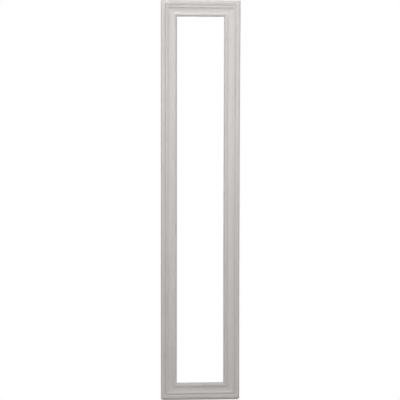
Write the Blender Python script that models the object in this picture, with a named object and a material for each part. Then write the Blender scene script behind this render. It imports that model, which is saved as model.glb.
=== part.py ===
"""A tall, narrow panel moulding frame, cast in one piece with mitred corners and a flat back.

Metres, +Z up. The frame stands upright with its front towards -Y and its back on the plane y = 0,
which is the wall. The origin is on the back, in the middle of the bottom rail.
"""

import math

import bmesh
import bpy

# The whole frame
FRAME_WIDTH = 0.252
FRAME_HEIGHT = 1.270

# The members of the moulding, from the outer edge in towards the opening.
# A height is measured from the wall, and a rise from where the member springs.
EDGE_HEIGHT = 0.0112
TORUS_WIDTH = 0.0150
TORUS_RISE = 0.0048
QUIRK_WIDTH = 0.0011
QUIRK_FLOOR_HEIGHT = 0.0116
BEAD_WIDTH = 0.0050
BEAD_SPRING_HEIGHT = 0.0146
BEAD_RISE = 0.0007
COVE_FLOOR_HEIGHT = 0.0092
COVE_WIDTH = 0.0136
COVE_FLAT_WIDTH = 0.0029
LIP_WIDTH = 0.0124
LIP_SPRING_HEIGHT = 0.0058
LIP_RISE = 0.0072
FILLET_WIDTH = 0.0008

# How far back from each mitre line, along both rails, the casting is rounded
MITRE_SOFTNESS = 0.0015

# How finely the round members are cut into flats
TORUS_STEPS = 16
BEAD_STEPS = 8
COVE_STEPS = 12
LIP_STEPS = 16
MITRE_STEPS = 3
SHARP_ANGLE = math.radians(35)

MERGE_DISTANCE = 1e-6

RAIL_WIDTH = (
    TORUS_WIDTH + QUIRK_WIDTH + BEAD_WIDTH + COVE_WIDTH + COVE_FLAT_WIDTH + LIP_WIDTH + FILLET_WIDTH
)


def half_round(start, width, spring_height, rise, steps):
    """A member that swells out from the wall: half an ellipse, as (across, height) points."""
    points = []
    for step in range(steps + 1):
        turn = math.pi * step / steps
        across = start + width * (1 - math.cos(turn)) / 2
        points.append((across, spring_height + rise * math.sin(turn)))
    return points


def cove(start, width, top_height, floor_height, steps):
    """A hollow member: a quarter of an ellipse that drops steeply, then runs out level."""
    points = []
    for step in range(steps + 1):
        turn = math.pi / 2 * step / steps
        across = start + width * (1 - math.cos(turn))
        points.append((across, top_height - (top_height - floor_height) * math.sin(turn)))
    return points


def rail_section():
    """The moulding's section as (across, height) points, from the outer edge of the back inwards."""
    bead_start = TORUS_WIDTH + QUIRK_WIDTH
    cove_start = bead_start + BEAD_WIDTH
    lip_start = cove_start + COVE_WIDTH + COVE_FLAT_WIDTH
    torus = half_round(0.0, TORUS_WIDTH, EDGE_HEIGHT, TORUS_RISE, TORUS_STEPS)
    lip = half_round(lip_start, LIP_WIDTH, LIP_SPRING_HEIGHT, LIP_RISE, LIP_STEPS)
    torus_crest = TORUS_STEPS // 2
    lip_crest = LIP_STEPS // 2
    points = [(0.0, 0.0)]
    points += torus[:torus_crest]
    points += [point for point in torus[torus_crest:] if point[1] > QUIRK_FLOOR_HEIGHT]
    points += [(TORUS_WIDTH, QUIRK_FLOOR_HEIGHT), (bead_start, QUIRK_FLOOR_HEIGHT)]
    points += half_round(bead_start, BEAD_WIDTH, BEAD_SPRING_HEIGHT, BEAD_RISE, BEAD_STEPS)
    points += cove(cove_start, COVE_WIDTH, BEAD_SPRING_HEIGHT, COVE_FLOOR_HEIGHT, COVE_STEPS)[1:]
    points.append((lip_start, COVE_FLOOR_HEIGHT))
    points += [point for point in lip[:lip_crest] if point[1] > COVE_FLOOR_HEIGHT]
    points += lip[lip_crest:]
    points += [(RAIL_WIDTH, LIP_SPRING_HEIGHT), (RAIL_WIDTH, 0.0)]
    return points


def sweep_round(bm, first_edges, middle_height):
    """Carries the section's edges from corner to corner, each a mirror of the last, and closes the ring."""
    edges = first_edges
    for axis, middle in ((0, 0.0), (2, middle_height), (0, 0.0), (2, middle_height)):
        new_items = bmesh.ops.extrude_edge_only(bm, edges=edges)["geom"]
        new_verts = {item for item in new_items if isinstance(item, bmesh.types.BMVert)}
        for vert in new_verts:
            vert.co[axis] = 2 * middle - vert.co[axis]
        new_edges = [item for item in new_items if isinstance(item, bmesh.types.BMEdge)]
        edges = [edge for edge in new_edges if new_verts.issuperset(edge.verts)]
    bmesh.ops.remove_doubles(bm, verts=bm.verts, dist=MERGE_DISTANCE)


def lies_on_mitre(edge):
    """True for an edge across a rail, which runs as far sideways as it runs up."""
    run = edge.verts[1].co - edge.verts[0].co
    return abs(abs(run.x) - abs(run.z)) < MERGE_DISTANCE


def moulded_frame(name):
    """The section swept round four mitred corners, with the mitres softened as a casting's are."""
    bm = bmesh.new()
    verts = [
        bm.verts.new((across - FRAME_WIDTH / 2, -height, across - RAIL_WIDTH / 2))
        for across, height in rail_section()
    ]
    section_edges = [bm.edges.new(pair) for pair in zip(verts, verts[1:] + verts[:1])]
    sweep_round(bm, section_edges, (FRAME_HEIGHT - RAIL_WIDTH) / 2)
    bmesh.ops.bevel(
        bm,
        geom=[edge for edge in bm.edges if lies_on_mitre(edge)],
        offset=MITRE_SOFTNESS,
        offset_type="ABSOLUTE",
        segments=MITRE_STEPS,
        profile=0.5,
        affect="EDGES",
    )
    bmesh.ops.recalc_face_normals(bm, faces=bm.faces)
    mesh = bpy.data.meshes.new(name)
    bm.to_mesh(mesh)
    bm.free()
    mesh.shade_smooth()
    mesh.set_sharp_from_angle(angle=SHARP_ANGLE)
    frame = bpy.data.objects.new(name, mesh)
    bpy.context.scene.collection.objects.link(frame)
    return frame


def primer():
    """Satin off-white primer paint."""
    material = bpy.data.materials.new("primed_white")
    material.use_nodes = True
    shader = material.node_tree.nodes["Principled BSDF"]
    shader.inputs["Base Color"].default_value = (0.72, 0.69, 0.66, 1.0)
    shader.inputs["Roughness"].default_value = 0.55
    shader.inputs["Metallic"].default_value = 0.0
    return material


def main():
    for old in list(bpy.data.objects):
        bpy.data.objects.remove(old)
    frame = moulded_frame("panel_frame")
    frame.data.materials.append(primer())


main()
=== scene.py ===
"""Looks of a tall, narrow panel moulding frame: a one-piece foam casting in off-white primer.

Metres, +Z up. The front faces -Y and the back lies on the plane y = 0.
"""

import math

import bmesh
import bpy
from mathutils import Matrix, Vector, noise


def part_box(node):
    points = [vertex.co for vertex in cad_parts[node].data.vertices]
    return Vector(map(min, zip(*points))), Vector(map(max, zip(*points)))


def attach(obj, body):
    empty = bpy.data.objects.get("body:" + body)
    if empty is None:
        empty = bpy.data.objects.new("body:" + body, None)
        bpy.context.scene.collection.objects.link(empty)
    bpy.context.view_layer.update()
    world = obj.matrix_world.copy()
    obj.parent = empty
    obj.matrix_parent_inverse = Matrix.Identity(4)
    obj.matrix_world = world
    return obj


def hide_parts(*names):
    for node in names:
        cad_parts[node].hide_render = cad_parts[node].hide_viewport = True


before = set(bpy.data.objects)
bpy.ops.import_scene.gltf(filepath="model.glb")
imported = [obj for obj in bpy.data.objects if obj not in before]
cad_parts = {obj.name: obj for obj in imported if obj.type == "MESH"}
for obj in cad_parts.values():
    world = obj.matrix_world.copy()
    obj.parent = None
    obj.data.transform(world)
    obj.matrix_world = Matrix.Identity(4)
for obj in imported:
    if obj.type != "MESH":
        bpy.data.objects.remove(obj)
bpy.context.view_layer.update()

LOW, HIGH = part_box("panel_frame")
FRAME_WIDTH = HIGH.x - LOW.x
FRAME_DEPTH = HIGH.y - LOW.y
FRAME_HEIGHT = HIGH.z - LOW.z
MIDDLE_HEIGHT = (HIGH.z + LOW.z) / 2

# The moulding's members, from the outer edge inwards: heights from the wall, rises from the springing
EDGE_HEIGHT = 0.0112
TORUS_WIDTH = 0.0150
TORUS_RISE = 0.0048
QUIRK_WIDTH = 0.0011
QUIRK_FLOOR_HEIGHT = 0.0116
BEAD_WIDTH = 0.0050
BEAD_SPRING_HEIGHT = 0.0146
BEAD_RISE = 0.0007
COVE_FLOOR_HEIGHT = 0.0092
COVE_WIDTH = 0.0136
COVE_FLAT_WIDTH = 0.0029
LIP_WIDTH = 0.0124
LIP_SPRING_HEIGHT = 0.0058
LIP_RISE = 0.0072
FILLET_WIDTH = 0.0008
RAIL_WIDTH = (
    TORUS_WIDTH + QUIRK_WIDTH + BEAD_WIDTH + COVE_WIDTH + COVE_FLAT_WIDTH + LIP_WIDTH + FILLET_WIDTH
)

# How far the paint rounds the arrises, over how many points, and how far back the mitres are rounded
PAINT_SOFTNESS = 0.00030
PAINT_REACH = 3
MITRE_SOFTNESS = 0.0015

# How finely the round members, the whole section, the mitres and the rails are cut
CURVE_STEPS = 24
SECTION_SPACING = 0.00045
MITRE_STEPS = 6
STATION_SPACING = 0.012

# The angle past which an edge shades sharp, how near corners merge, and the least span to divide by
SHARP_ANGLE = math.radians(50)
MERGE_DISTANCE = 1e-6
SHORTEST_SPAN = 1e-9

# How far the rails wander, over what length and by which seed, and how far the right one bows in
WANDER = 0.00010
WANDER_LENGTH = 0.35
WANDER_SEED = 1
BOW = 0.0011

# How low the top rail's quirk and bead lie, how far in that is greatest, and how far it reaches
TOP_BEAD_SHIFT = 0.0013
BEAD_LINE = 0.0175
BEAD_REACH = 0.0070

# The camera, in the photograph's frame of 400 by 400 pixels
CAMERA_AZIMUTH = math.radians(-3.93)
CAMERA_ELEVATION = math.radians(3.50)
CAMERA_ROLL = math.radians(0.093)
CAMERA_DISTANCE = 4.426
CAMERA_TARGET = Vector((-0.0009, 0.0, MIDDLE_HEIGHT + 0.0031))
CAMERA_LENS = 124.8
CAMERA_SENSOR = 36.0

# Base colours of the primer and of the bare foam
PRIMER = (0.785, 0.752, 0.728, 1.0)
PRIMER_COOL = (0.765, 0.740, 0.718, 1.0)
PRIMER_WARM = (0.775, 0.730, 0.695, 1.0)
FOAM = (0.85, 0.80, 0.69, 1.0)
FOAM_DARK = (0.77, 0.71, 0.58, 1.0)

# How wide the blotches and the grain are
CLOUD_SIZE = 0.09
SPOT_SIZE = 0.012
PEEL_SIZE = 0.0022
NIB_SIZE = 0.0007
PIT_SIZE = 0.0030

# Where the noise behind each kind starts to show and where it is full, and how strong the warm spots are
CLOUD_FADE = (0.3, 0.7)
SPOT_FADE = (0.45, 0.75)
SPOT_STRENGTH = 0.5
FOAM_FADE = (0.35, 0.65)
PIT_FADE = (0.62, 0.75)
PEEL_FADE = (0.2, 0.8)

# Where the overspray on the back is full and where it has gone, in from an edge, and how ragged it is
OVERSPRAY_FULL = 0.002
OVERSPRAY_GONE = 0.009
OVERSPRAY_RAGGED = 0.016

# Where, along Y, the paint starts to give way to bare foam, and where it has gone
PAINT_THINS = -0.0006
PAINT_GONE = -0.0001

# The primer's roughness from its smoothest to its roughest, and how much rougher bare foam is
PRIMER_ROUGHNESS = (0.46, 0.54)
FOAM_ROUGHER = 0.2

# How much the peel, the nibs and the pits count in the relief, and how deep it is
PEEL_SHARE = 0.5
NIB_SHARE = 0.25
PIT_SHARE = 2.0
RELIEF_DEPTH = 0.00006

# Each soft box: its name, place, target, width and power in watts
SOFT_BOXES = (
    ("front_fill", (0.0, -2.18, 0.92), (0.0, 0.0, 0.61), 1.0, 5.7),
    ("left_key", (-1.23, -0.71, 2.30), (0.0, 0.0, 0.61), 1.0, 15.7),
    ("high_front", (0.0, -1.41, 2.30), (0.0, 0.0, 0.61), 1.0, 8.8),
    ("near_front", (0.0, -1.10, 0.90), (0.0, 0.0, 0.90), 0.7, 2.1),
    ("near_right", (1.00, -0.80, 1.30), (0.0, 0.0, 1.00), 0.7, 3.1),
    ("back_fill", (0.0, 2.20, 0.70), (0.0, 0.0, 0.61), 0.8, 14.0),
)

# The light from all round, and plain white and black
ROOM_LIGHT = (0.05, 0.05, 0.05, 1.0)
WHITE = (1.0, 1.0, 1.0, 1.0)
BLACK = (0.0, 0.0, 0.0, 1.0)

# The floor: its width, how far it lies below the frame, its colour to the lights, and its painted shadow's
# colour
FLOOR_SIZE = 14.0
FLOOR_GAP = 0.0002
FLOOR_WHITE = (0.85, 0.85, 0.85, 1.0)
FLOOR_PAINTED_SHADOW = (0.46, 0.45, 0.44, 1.0)

# How far out from the frame's front and back, and from its sides, the floor's painted shadow ends and is
# full
PAINTED_SHADOW_BEFORE = (0.026, 0.0)
PAINTED_SHADOW_BESIDE = (0.003, -0.010)


def half_round(start, width, spring_height, rise):
    """A member that swells out from the wall: half an ellipse, as (across, height) points."""
    points = []
    for step in range(CURVE_STEPS + 1):
        turn = math.pi * step / CURVE_STEPS
        across = start + width * (1 - math.cos(turn)) / 2
        points.append((across, spring_height + rise * math.sin(turn)))
    return points


def cove(start, width, top_height, floor_height):
    """A hollow member: a quarter of an ellipse that drops steeply, then runs out level."""
    points = []
    for step in range(CURVE_STEPS + 1):
        turn = math.pi / 2 * step / CURVE_STEPS
        across = start + width * (1 - math.cos(turn))
        points.append((across, top_height - (top_height - floor_height) * math.sin(turn)))
    return points


def sharp_section():
    """The moulding's section as (across, height) points, from the outer edge of the back inwards."""
    bead_start = TORUS_WIDTH + QUIRK_WIDTH
    cove_start = bead_start + BEAD_WIDTH
    lip_start = cove_start + COVE_WIDTH + COVE_FLAT_WIDTH
    lip = half_round(lip_start, LIP_WIDTH, LIP_SPRING_HEIGHT, LIP_RISE)
    torus = half_round(0.0, TORUS_WIDTH, EDGE_HEIGHT, TORUS_RISE)
    points = [(0.0, 0.0)]
    points += [point for point in torus if point[0] < TORUS_WIDTH / 2 or point[1] > QUIRK_FLOOR_HEIGHT]
    points += [(TORUS_WIDTH, QUIRK_FLOOR_HEIGHT), (bead_start, QUIRK_FLOOR_HEIGHT)]
    points += half_round(bead_start, BEAD_WIDTH, BEAD_SPRING_HEIGHT, BEAD_RISE)
    points += cove(cove_start, COVE_WIDTH, BEAD_SPRING_HEIGHT, COVE_FLOOR_HEIGHT)
    points.append((lip_start, COVE_FLOOR_HEIGHT))
    lip_crest = lip_start + LIP_WIDTH / 2
    points += [point for point in lip if point[0] > lip_crest or point[1] > COVE_FLOOR_HEIGHT]
    points += [(RAIL_WIDTH, LIP_SPRING_HEIGHT), (RAIL_WIDTH, 0.0)]
    return [Vector(point) for point in points]


def evenly_spaced(points, spacing):
    """Points a constant step apart along an open line."""
    lengths = [0.0]
    for here, there in zip(points, points[1:]):
        lengths.append(lengths[-1] + (there - here).length)
    count = round(lengths[-1] / spacing)
    even = []
    piece = 0
    for step in range(count + 1):
        along = lengths[-1] * step / count
        while piece < len(points) - 2 and lengths[piece + 1] < along:
            piece += 1
        span = max(lengths[piece + 1] - lengths[piece], SHORTEST_SPAN)
        even.append(points[piece].lerp(points[piece + 1], (along - lengths[piece]) / span))
    return even


def painted_section():
    """The section as it looks under its paint: arrises a little round, quirks a little filled."""
    even = evenly_spaced(sharp_section(), SECTION_SPACING)
    soft = []
    for index, point in enumerate(even):
        if index < PAINT_REACH or index >= len(even) - PAINT_REACH:
            soft.append(point.copy())
            continue
        total = Vector((0.0, 0.0))
        weights = 0.0
        for offset in range(-PAINT_REACH, PAINT_REACH + 1):
            weight = math.exp(-0.5 * (offset * SECTION_SPACING / PAINT_SOFTNESS) ** 2)
            total += even[index + offset] * weight
            weights += weight
        soft.append(total / weights)
    return soft


def sweep_round(bm, first_edges):
    """Carries the section's edges from corner to corner, each a mirror of the last, and closes the ring."""
    edges = first_edges
    for axis, middle in ((0, 0.0), (2, MIDDLE_HEIGHT), (0, 0.0), (2, MIDDLE_HEIGHT)):
        new_items = bmesh.ops.extrude_edge_only(bm, edges=edges)["geom"]
        new_verts = {item for item in new_items if isinstance(item, bmesh.types.BMVert)}
        for vert in new_verts:
            vert.co[axis] = 2 * middle - vert.co[axis]
        new_edges = [item for item in new_items if isinstance(item, bmesh.types.BMEdge)]
        edges = [edge for edge in new_edges if new_verts.issuperset(edge.verts)]
    bmesh.ops.remove_doubles(bm, verts=bm.verts, dist=MERGE_DISTANCE)


def lies_on_mitre(edge):
    """True for an edge across a rail, which runs as far sideways as it runs up."""
    run = edge.verts[1].co - edge.verts[0].co
    return abs(abs(run.x) - abs(run.z)) < MERGE_DISTANCE


def add_stations(bm):
    """Cuts the rails across, so that they can wander a little."""
    for axis, length in ((0, FRAME_WIDTH - 2 * RAIL_WIDTH), (2, FRAME_HEIGHT - 2 * RAIL_WIDTH)):
        along = [
            edge for edge in bm.edges if abs(edge.verts[1].co[axis] - edge.verts[0].co[axis]) > length / 2
        ]
        bmesh.ops.subdivide_edges(bm, edges=along, cuts=round(length / STATION_SPACING), use_grid_fill=True)


def let_wander(bm):
    """Moves the rails a little off true: a slow drift, a bowed right rail and a lower bead at the top."""
    noise.seed_set(WANDER_SEED)
    for vert in bm.verts:
        drift = noise.noise_vector(vert.co / WANDER_LENGTH) * WANDER
        across = min(FRAME_WIDTH / 2 - abs(vert.co.x), FRAME_HEIGHT / 2 - abs(vert.co.z - MIDDLE_HEIGHT))
        inside = min(1.0, across / TORUS_WIDTH)
        from_wall = min(1.0, -vert.co.y / EDGE_HEIGHT)
        rightness = max(0.0, vert.co.x) / (FRAME_WIDTH / 2 - across)
        topness = max(0.0, vert.co.z - MIDDLE_HEIGHT) / (FRAME_HEIGHT / 2 - across)
        by_bead = math.exp(-((across - BEAD_LINE) / BEAD_REACH) ** 2)
        bow = BOW * rightness * math.sin(math.pi * (vert.co.z - LOW.z) / FRAME_HEIGHT)
        vert.co.x += drift.x * inside - bow
        vert.co.z += drift.z * inside - TOP_BEAD_SHIFT * topness * by_bead
        vert.co.y = max(LOW.y, vert.co.y + abs(drift.y) * from_wall)


def moulded_frame(name):
    """The painted section swept round four mitred corners."""
    bm = bmesh.new()
    verts = [
        bm.verts.new((across - FRAME_WIDTH / 2, -height, across + LOW.z))
        for across, height in painted_section()
    ]
    sweep_round(bm, [bm.edges.new(pair) for pair in zip(verts, verts[1:] + verts[:1])])
    bmesh.ops.bevel(
        bm,
        geom=[edge for edge in bm.edges if lies_on_mitre(edge)],
        offset=MITRE_SOFTNESS,
        offset_type="ABSOLUTE",
        segments=MITRE_STEPS,
        profile=0.5,
        affect="EDGES",
    )
    add_stations(bm)
    let_wander(bm)
    bmesh.ops.recalc_face_normals(bm, faces=bm.faces)
    mesh = bpy.data.meshes.new(name)
    bm.to_mesh(mesh)
    bm.free()
    mesh.shade_smooth()
    mesh.set_sharp_from_angle(angle=SHARP_ANGLE)
    piece = bpy.data.objects.new(name, mesh)
    bpy.context.scene.collection.objects.link(piece)
    return piece


class Field:
    """One output of a node. Python's operators on it add Math nodes."""

    def __init__(self, finish, socket):
        self.finish = finish
        self.socket = socket

    def math(self, operation, *values):
        return self.finish.add("ShaderNodeMath", {"operation": operation}, dict(enumerate(values)))

    def __add__(self, other):
        return self.math("ADD", self, other)

    def __sub__(self, other):
        return self.math("SUBTRACT", self, other)

    def __rsub__(self, other):
        return self.math("SUBTRACT", other, self)

    def __mul__(self, other):
        return self.math("MULTIPLY", self, other)

    def __abs__(self):
        return self.math("ABSOLUTE", self)

    def lesser(self, other):
        return self.math("MINIMUM", self, other)

    __radd__ = __add__
    __rmul__ = __mul__


class Finish:
    """The nodes of a material or of the world, and short calls that add to them."""

    def __init__(self, owner, shader="Principled BSDF"):
        owner.use_nodes = True
        self.tree = owner.node_tree
        self.shader = self.tree.nodes[shader]

    def add(self, kind, settings=None, inputs=None, output=0):
        """Adds a node: first its settings, then each socket's value or link. Gives one of its outputs."""
        node = self.tree.nodes.new(kind)
        for setting, value in (settings or {}).items():
            setattr(node, setting, value)
        for socket, value in (inputs or {}).items():
            self.feed(node.inputs[socket], value)
        return Field(self, node.outputs[output])

    def feed(self, socket, value):
        if isinstance(value, Field):
            self.tree.links.new(value.socket, socket)
        else:
            socket.default_value = value

    def set_shader(self, sockets):
        for socket, value in sockets.items():
            self.feed(self.shader.inputs[socket], value)

    def place(self):
        """Where a point is on the object, in metres."""
        return self.add("ShaderNodeTexCoord", output="Object")

    def along(self, axis, place):
        """The X, Y or Z of a place."""
        return self.add("ShaderNodeSeparateXYZ", inputs={"Vector": place}, output=axis)

    def grain(self, place, size, detail=2.0):
        """Smooth random blotches, from 0 to 1, about size metres across."""
        values = {"Vector": place, "Scale": 1 / size, "Detail": detail}
        return self.add("ShaderNodeTexNoise", inputs=values, output="Fac")

    def fade(self, value, start, end, low=0.0, high=1.0):
        """low where value is at start, high where it is at end, and smooth between."""
        values = {"Value": value, "From Min": start, "From Max": end, "To Min": low, "To Max": high}
        return self.add("ShaderNodeMapRange", {"interpolation_type": "SMOOTHSTEP"}, values, "Result")

    def blend(self, share, first, second):
        """The first colour where share is 0 and the second where it is 1."""
        values = {"Factor": share, 6: first, 7: second}
        return self.add("ShaderNodeMix", {"data_type": "RGBA"}, values, 2)

    def bump(self, height, distance):
        """A normal that follows height, distance metres deep."""
        return self.add("ShaderNodeBump", inputs={"Distance": distance, "Height": height}, output="Normal")


def primed_casting():
    """Satin primer over foam. The back is bare foam with a little overspray round its edges."""
    material = bpy.data.materials.new("primed_casting")
    finish = Finish(material)
    place = finish.place()
    side = FRAME_WIDTH / 2 - abs(finish.along("X", place))
    end = FRAME_HEIGHT / 2 - abs(finish.along("Z", place) - MIDDLE_HEIGHT)
    across = side.lesser(end)
    clouds = finish.grain(place, CLOUD_SIZE)
    spots = finish.grain(place, SPOT_SIZE, detail=4.0)
    peel = finish.grain(place, PEEL_SIZE, detail=1.0)
    nibs = finish.grain(place, NIB_SIZE)

    paint = finish.blend(finish.fade(clouds, *CLOUD_FADE), PRIMER, PRIMER_COOL)
    paint = finish.blend(finish.fade(spots, *SPOT_FADE, 0.0, SPOT_STRENGTH), paint, PRIMER_WARM)
    foam = finish.blend(finish.fade(spots, *FOAM_FADE), FOAM, FOAM_DARK)
    from_edge = across.lesser(RAIL_WIDTH - across)
    ragged_edge = from_edge + (spots - 0.5) * OVERSPRAY_RAGGED
    overspray = finish.fade(ragged_edge, OVERSPRAY_GONE, OVERSPRAY_FULL)
    bare = finish.fade(finish.along("Y", place), PAINT_THINS, PAINT_GONE) * (1 - overspray)

    pits = finish.fade(finish.grain(place, PIT_SIZE, detail=3.0), *PIT_FADE)
    relief = peel * PEEL_SHARE + nibs * NIB_SHARE - pits * bare * PIT_SHARE
    finish.set_shader({
        "Base Color": finish.blend(bare, paint, foam),
        "Roughness": finish.fade(peel, *PEEL_FADE, *PRIMER_ROUGHNESS) + bare * FOAM_ROUGHER,
        "Normal": finish.bump(relief, RELIEF_DEPTH),
    })
    return material


def glowing_white():
    """White board: burnt out to plain white for the camera, with a soft shadow painted round the frame's
    foot.
    """
    material = bpy.data.materials.new("studio_white")
    finish = Finish(material)
    place = finish.place()
    beside = abs(finish.along("X", place)) - FRAME_WIDTH / 2
    before = abs(finish.along("Y", place) + FRAME_DEPTH / 2) - FRAME_DEPTH / 2
    # Painted shadow: near the frame's foot the camera sees a darker floor that does not glow
    shade = finish.fade(before, *PAINTED_SHADOW_BEFORE) * finish.fade(beside, *PAINTED_SHADOW_BESIDE)
    seen = finish.add("ShaderNodeLightPath", output="Is Camera Ray")
    finish.set_shader({
        "Base Color": finish.blend(seen, FLOOR_WHITE, finish.blend(shade, BLACK, FLOOR_PAINTED_SHADOW)),
        "Roughness": 0.9,
        "Specular IOR Level": 0.0,
        "Emission Color": finish.blend(seen * (1 - shade), BLACK, WHITE),
        "Emission Strength": 1.0,
    })
    return material


def studio_floor():
    """The white floor that the frame's lower edge stands on."""
    bm = bmesh.new()
    bmesh.ops.create_grid(bm, x_segments=1, y_segments=1, size=FLOOR_SIZE / 2)
    mesh = bpy.data.meshes.new("studio_floor")
    bm.to_mesh(mesh)
    bm.free()
    floor = bpy.data.objects.new("studio_floor", mesh)
    floor.location.z = LOW.z - FLOOR_GAP
    bpy.context.scene.collection.objects.link(floor)
    floor.data.materials.append(glowing_white())
    return floor


def soft_box(name, place, target, width, power):
    """A large square area light that faces its target."""
    data = bpy.data.lights.new(name, "AREA")
    data.size = width
    data.energy = power
    lamp = bpy.data.objects.new(name, data)
    lamp.visible_camera = False
    lamp.location = place
    lamp.rotation_euler = (Vector(target) - Vector(place)).to_track_quat("-Z", "Y").to_euler()
    bpy.context.scene.collection.objects.link(lamp)


def pale_room():
    """A world that the camera sees as white, and that adds a little light from all round."""
    world = bpy.data.worlds.new("pale_room")
    finish = Finish(world, "Background")
    seen = finish.add("ShaderNodeLightPath", output="Is Camera Ray")
    finish.set_shader({"Color": finish.blend(seen, ROOM_LIGHT, WHITE), "Strength": 1.0})
    bpy.context.scene.world = world


def photograph_camera():
    """The photograph's view: from a little to the left and a little above the middle, from far off."""
    data = bpy.data.cameras.new("camera")
    data.lens = CAMERA_LENS
    data.sensor_width = CAMERA_SENSOR
    camera = bpy.data.objects.new("camera", data)
    back = Vector((
        math.sin(CAMERA_AZIMUTH) * math.cos(CAMERA_ELEVATION),
        -math.cos(CAMERA_AZIMUTH) * math.cos(CAMERA_ELEVATION),
        math.sin(CAMERA_ELEVATION),
    ))
    turn = (-back).to_track_quat("-Z", "Y").to_matrix().to_4x4()
    camera.matrix_world = (
        Matrix.Translation(CAMERA_TARGET + back * CAMERA_DISTANCE)
        @ turn
        @ Matrix.Rotation(CAMERA_ROLL, 4, "Z")
    )
    bpy.context.scene.collection.objects.link(camera)
    bpy.context.scene.camera = camera


photograph_camera()
casting = moulded_frame("moulded_frame")
casting.data.materials.append(primed_casting())
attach(casting, "root")
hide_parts("panel_frame")
studio_floor()
for box in SOFT_BOXES:
    soft_box(*box)
pale_room()
bpy.context.scene.view_settings.view_transform = "Standard"
